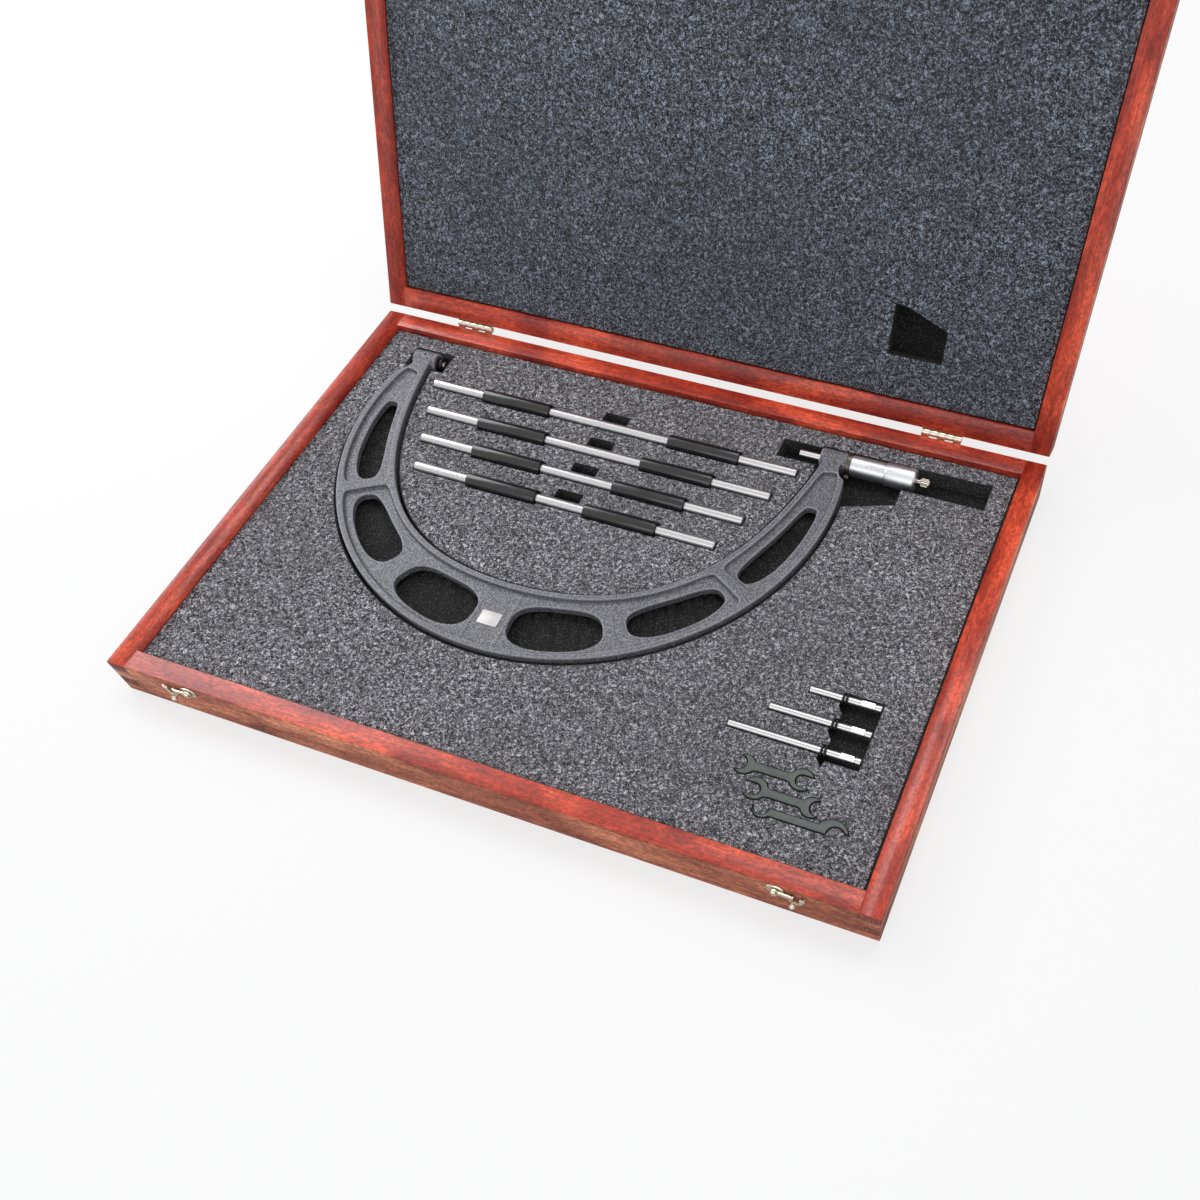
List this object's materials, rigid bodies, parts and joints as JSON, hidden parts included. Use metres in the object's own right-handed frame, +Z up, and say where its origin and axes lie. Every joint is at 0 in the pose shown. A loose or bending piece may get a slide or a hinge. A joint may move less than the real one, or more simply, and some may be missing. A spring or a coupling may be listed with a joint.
{
  "type": "cased large outside micrometer set",
  "caption": "Hinged hardwood case with a foam bed holding a large bow micrometer, its setting standards, spare anvils and flat wrenches; the lid, latches and measuring screw move.",
  "frame": {"origin": "centre of the underside of the base, on the surface that the case stands on", "axes": "+X to the right along the front, +Y from the latches to the hinges, +Z up"},
  "size_m": [0.69, 0.7129, 0.4757],
  "materials": {
    "wood": "stained hardwood, satin",
    "foam": "closed-cell foam, matt",
    "nickel": "bright plated steel",
    "steel": "ground and satin",
    "enamel": "dark grey crinkle enamel on cast iron",
    "black": "moulded insulating grip",
    "oxide": "black oxide",
    "bronze": "dark knurled ring",
    "blued": "blued flat steel",
    "plate": "bare pale plate"
  },
  "bodies": {
    "base": {"base_front_rail": "wood", "base_back_rail": "wood", "base_left_rail": "wood", "base_right_rail": "wood", "base_panel": "wood", "base_foam": "foam", "base_hinge_leaves": "nickel", "hinge_pins": "steel", "base_hinge_screws": "nickel", "latch_plates": "nickel", "latch_rivets": "nickel", "latch_screws": "nickel"},
    "lid": {"lid_front_rail": "wood", "lid_back_rail": "wood", "lid_left_rail": "wood", "lid_right_rail": "wood", "lid_panel": "wood", "lid_foam": "foam", "lid_hinge_leaves": "nickel", "lid_hinge_screws": "nickel", "catch_plates": "nickel", "catch_pins": "nickel", "catch_screws": "nickel"},
    "left_latch": {"left_hook": "nickel"},
    "right_latch": {"right_hook": "nickel"},
    "micrometer": {"mic_frame": "enamel", "name_plate": "plate", "anvil_set_screw": "oxide", "fitted_anvil": "steel", "fitted_anvil_nuts": "oxide", "barrel": "steel"},
    "graduated_sleeve": {"sleeve": "steel"},
    "spindle_lock": {"lock_ring": "bronze"},
    "spindle_slide": {"spindle": "steel"},
    "thimble_screw": {"thimble": "steel"},
    "ratchet": {"ratchet_stop": "steel"},
    "standard_a_body": {"standard_a": "steel", "grips_a": "black"},
    "standard_b_body": {"standard_b": "steel", "grips_b": "black"},
    "standard_c_body": {"standard_c": "steel", "grips_c": "black"},
    "standard_d_body": {"standard_d": "steel", "grips_d": "black"},
    "spare_anvil_a_body": {"spare_anvil_a": "steel", "anvil_nuts_a": "oxide"},
    "spare_anvil_b_body": {"spare_anvil_b": "steel", "anvil_nuts_b": "oxide"},
    "spare_anvil_c_body": {"spare_anvil_c": "steel", "anvil_nuts_c": "oxide"},
    "open_wrench_a_body": {"open_wrench_a": "blued"},
    "open_wrench_b_body": {"open_wrench_b": "blued"},
    "hook_wrench_body": {"hook_wrench": "blued"}
  },
  "joints": [
    {"name": "lid_hinge", "type": "hinge", "parent": "base", "child": "lid", "pos_m": [0, 0.2409, 0.0409], "axis": [-1, 0, 0], "range_deg": [-115, 0]},
    {"name": "left_latch_swing", "type": "hinge", "parent": "base", "child": "left_latch", "pos_m": [-0.2625, -0.24, 0.033], "axis": [0, -1, 0], "range_deg": [-99.5, 75]},
    {"name": "right_latch_swing", "type": "hinge", "parent": "base", "child": "right_latch", "pos_m": [0.2625, -0.24, 0.033], "axis": [0, 1, 0], "range_deg": [-99.5, 75]},
    {"name": "micrometer_lift", "type": "slide", "parent": "base", "child": "micrometer", "axis": [0, 0, 1], "range_m": [0, 0.06]},
    {"name": "sleeve_zero", "type": "hinge", "parent": "micrometer", "child": "graduated_sleeve", "pos_m": [0.19, 0.188, 0.031], "axis": [1, 0, 0], "range_deg": [-15, 15]},
    {"name": "lock_turn", "type": "hinge", "parent": "micrometer", "child": "spindle_lock", "pos_m": [0.174, 0.188, 0.031], "axis": [1, 0, 0], "range_deg": [-15, 15]},
    {"name": "spindle_feed", "type": "slide", "parent": "micrometer", "child": "spindle_slide", "axis": [-1, 0, 0], "range_m": [-0.0084, 0.017]},
    {"name": "thimble_turn", "type": "hinge", "parent": "spindle_slide", "child": "thimble_screw", "pos_m": [0.22, 0.188, 0.031], "axis": [-1, 0, 0], "range_deg": [-4762.2, 9637.7]},
    {"name": "ratchet_turn", "type": "hinge", "parent": "thimble_screw", "child": "ratchet", "pos_m": [0.245, 0.188, 0.031], "axis": [-1, 0, 0], "continuous": true},
    {"name": "standard_a_lift", "type": "slide", "parent": "base", "child": "standard_a_body", "axis": [0, 0, 1], "range_m": [0, 0.05]},
    {"name": "standard_b_lift", "type": "slide", "parent": "base", "child": "standard_b_body", "axis": [0, 0, 1], "range_m": [0, 0.05]},
    {"name": "standard_c_lift", "type": "slide", "parent": "base", "child": "standard_c_body", "axis": [0, 0, 1], "range_m": [0, 0.05]},
    {"name": "standard_d_lift", "type": "slide", "parent": "base", "child": "standard_d_body", "axis": [0, 0, 1], "range_m": [0, 0.05]},
    {"name": "spare_anvil_a_lift", "type": "slide", "parent": "base", "child": "spare_anvil_a_body", "axis": [0, 0, 1], "range_m": [0, 0.05]},
    {"name": "spare_anvil_b_lift", "type": "slide", "parent": "base", "child": "spare_anvil_b_body", "axis": [0, 0, 1], "range_m": [0, 0.05]},
    {"name": "spare_anvil_c_lift", "type": "slide", "parent": "base", "child": "spare_anvil_c_body", "axis": [0, 0, 1], "range_m": [0, 0.05]},
    {"name": "open_wrench_a_lift", "type": "slide", "parent": "base", "child": "open_wrench_a_body", "axis": [0, 0, 1], "range_m": [0, 0.04]},
    {"name": "open_wrench_b_lift", "type": "slide", "parent": "base", "child": "open_wrench_b_body", "axis": [0, 0, 1], "range_m": [0, 0.04]},
    {"name": "hook_wrench_lift", "type": "slide", "parent": "base", "child": "hook_wrench_body", "axis": [0, 0, 1], "range_m": [0, 0.04]}
  ],
  "couplings": [
    {"joint": "thimble_turn", "follows": "spindle_feed", "rad_per_m": 9894.8}
  ]
}
